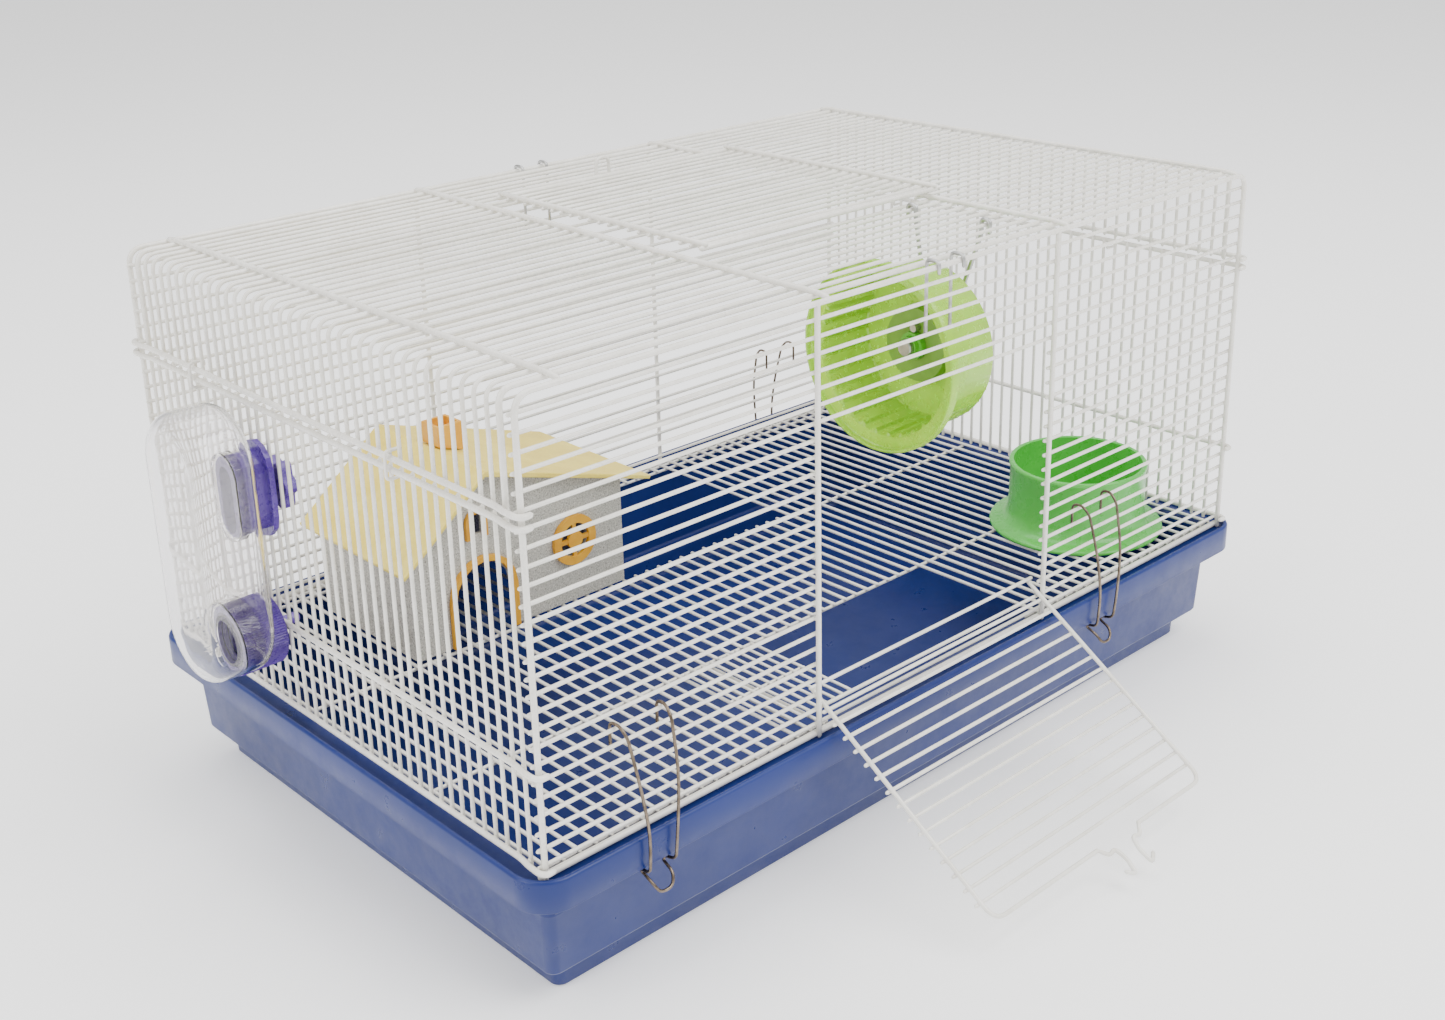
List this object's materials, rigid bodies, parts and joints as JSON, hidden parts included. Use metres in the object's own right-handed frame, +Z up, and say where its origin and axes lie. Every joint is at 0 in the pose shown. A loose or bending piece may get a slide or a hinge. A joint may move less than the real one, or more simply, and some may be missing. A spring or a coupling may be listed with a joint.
{
  "type": "hamster cage",
  "caption": "Wire pet cage on a deep moulded tray, with drop-down front door, roof hatch, wire floor, running wheel, gabled house, food bowl and side water bottle.",
  "frame": {"origin": "centre of the tray's underside, on the surface the cage stands on", "axes": "+X to the right along the front, +Y to the back, +Z up"},
  "size_m": [0.644, 0.5187, 0.3435],
  "materials": {
    "white_wire": "gloss powder coat",
    "blue_tray": "moulded gloss",
    "clip_wire": "dark bronze spring wire",
    "grey_metal": "satin",
    "lime_wheel": "translucent gloss",
    "boss_green": "gloss",
    "hub_olive": "gloss",
    "bowl_green": "gloss",
    "speckled_grey": "speckled matt",
    "yellow_roof": "pebbled matt",
    "amber_trim": "satin",
    "clear_bottle": "clear moulded",
    "purple_plastic": "gloss",
    "bright_steel": "polished"
  },
  "bodies": {
    "cage": {"tray": "blue_tray", "front_panel": "white_wire", "back_panel": "white_wire", "left_panel": "white_wire", "right_panel": "white_wire", "roof_front": "white_wire", "roof_back": "white_wire", "roof_left": "white_wire", "roof_right": "white_wire", "roof_drop_left": "white_wire", "roof_drop_right": "white_wire", "floor_left": "white_wire", "floor_right": "white_wire", "floor_middle": "white_wire", "floor_rear_left": "white_wire", "floor_back": "white_wire", "floor_ramp": "white_wire", "seam_tie_left_front": "white_wire", "seam_tie_left_back": "white_wire", "seam_tie_right_front": "white_wire", "seam_tie_right_back": "white_wire", "roof_hook_front_left": "grey_metal", "roof_hook_front_right": "grey_metal", "roof_hook_back_left": "grey_metal", "roof_hook_back_right": "grey_metal", "wheel_axle": "grey_metal", "wheel_hanger": "grey_metal", "bottle_holder": "purple_plastic"},
    "front_door": {"front_door": "white_wire"},
    "roof_hatch": {"roof_hatch": "white_wire"},
    "wheel": {"wheel_drum": "lime_wheel", "wheel_hub": "hub_olive", "wheel_boss": "boss_green", "hub_pin": "grey_metal"},
    "clip_front_left": {"clip_front_left": "clip_wire"},
    "clip_front_right": {"clip_front_right": "clip_wire"},
    "clip_back_left": {"clip_back_left": "clip_wire"},
    "clip_back_right": {"clip_back_right": "clip_wire"},
    "food_bowl": {"food_bowl": "bowl_green"},
    "house": {"house_body": "speckled_grey", "house_door_frame": "amber_trim", "house_gable_frame": "amber_trim", "house_ring_window": "amber_trim"},
    "house_roof": {"house_roof": "yellow_roof", "house_chimney": "amber_trim"},
    "bottle": {"bottle": "clear_bottle"},
    "bottle_cap": {"bottle_cap": "purple_plastic", "bottle_spout": "purple_plastic"},
    "spout_ball": {"spout_ball": "bright_steel"},
    "holder_nut": {"holder_nut": "purple_plastic"}
  },
  "joints": [
    {"name": "front_door_hinge", "type": "hinge", "parent": "cage", "child": "front_door", "pos_m": [-0.0045, -0.18, 0.09721], "axis": [1, 0, 0], "range_deg": [-123, 0]},
    {"name": "roof_hatch_hinge", "type": "hinge", "parent": "cage", "child": "roof_hatch", "pos_m": [0.0105, -0.08, 0.3315], "axis": [1, 0, 0], "range_deg": [0, 110]},
    {"name": "wheel_spin", "type": "hinge", "parent": "cage", "child": "wheel", "pos_m": [0.068, -0.11, 0.2506], "axis": [1, 0, 0], "continuous": true},
    {"name": "clip_front_left_swing", "type": "hinge", "parent": "cage", "child": "clip_front_left", "pos_m": [-0.2265, -0.18, 0.14276], "axis": [1, 0, 0], "range_deg": [-7.5, 0]},
    {"name": "clip_front_right_swing", "type": "hinge", "parent": "cage", "child": "clip_front_right", "pos_m": [0.1435, -0.18, 0.14276], "axis": [1, 0, 0], "range_deg": [-7.5, 0]},
    {"name": "clip_back_left_swing", "type": "hinge", "parent": "cage", "child": "clip_back_left", "pos_m": [-0.1435, 0.18, 0.14276], "axis": [1, 0, 0], "range_deg": [0, 7.5]},
    {"name": "clip_back_right_swing", "type": "hinge", "parent": "cage", "child": "clip_back_right", "pos_m": [0.2265, 0.18, 0.14276], "axis": [1, 0, 0], "range_deg": [0, 7.5]},
    {"name": "food_bowl_lift", "type": "slide", "parent": "cage", "child": "food_bowl", "axis": [0, 0, 1], "range_m": [0, 0.12]},
    {"name": "house_lift", "type": "slide", "parent": "cage", "child": "house", "axis": [0, 0, 1], "range_m": [0, 0.05]},
    {"name": "house_roof_lift", "type": "slide", "parent": "house", "child": "house_roof", "axis": [0, 0, 1], "range_m": [0, 0.045]},
    {"name": "bottle_slide", "type": "slide", "parent": "cage", "child": "bottle", "axis": [-1, 0, 0], "range_m": [0, 0.045]},
    {"name": "bottle_cap_turn", "type": "hinge", "parent": "bottle", "child": "bottle_cap", "pos_m": [-0.3075, 0.05559, 0.133], "axis": [1, 0, 0], "continuous": true},
    {"name": "spout_ball_travel", "type": "slide", "parent": "bottle_cap", "child": "spout_ball", "axis": [-1, 0, 0], "range_m": [0, 0.003]},
    {"name": "holder_nut_turn", "type": "hinge", "parent": "cage", "child": "holder_nut", "pos_m": [-0.283, 0.04632, 0.219], "axis": [1, 0, 0], "continuous": true}
  ]
}
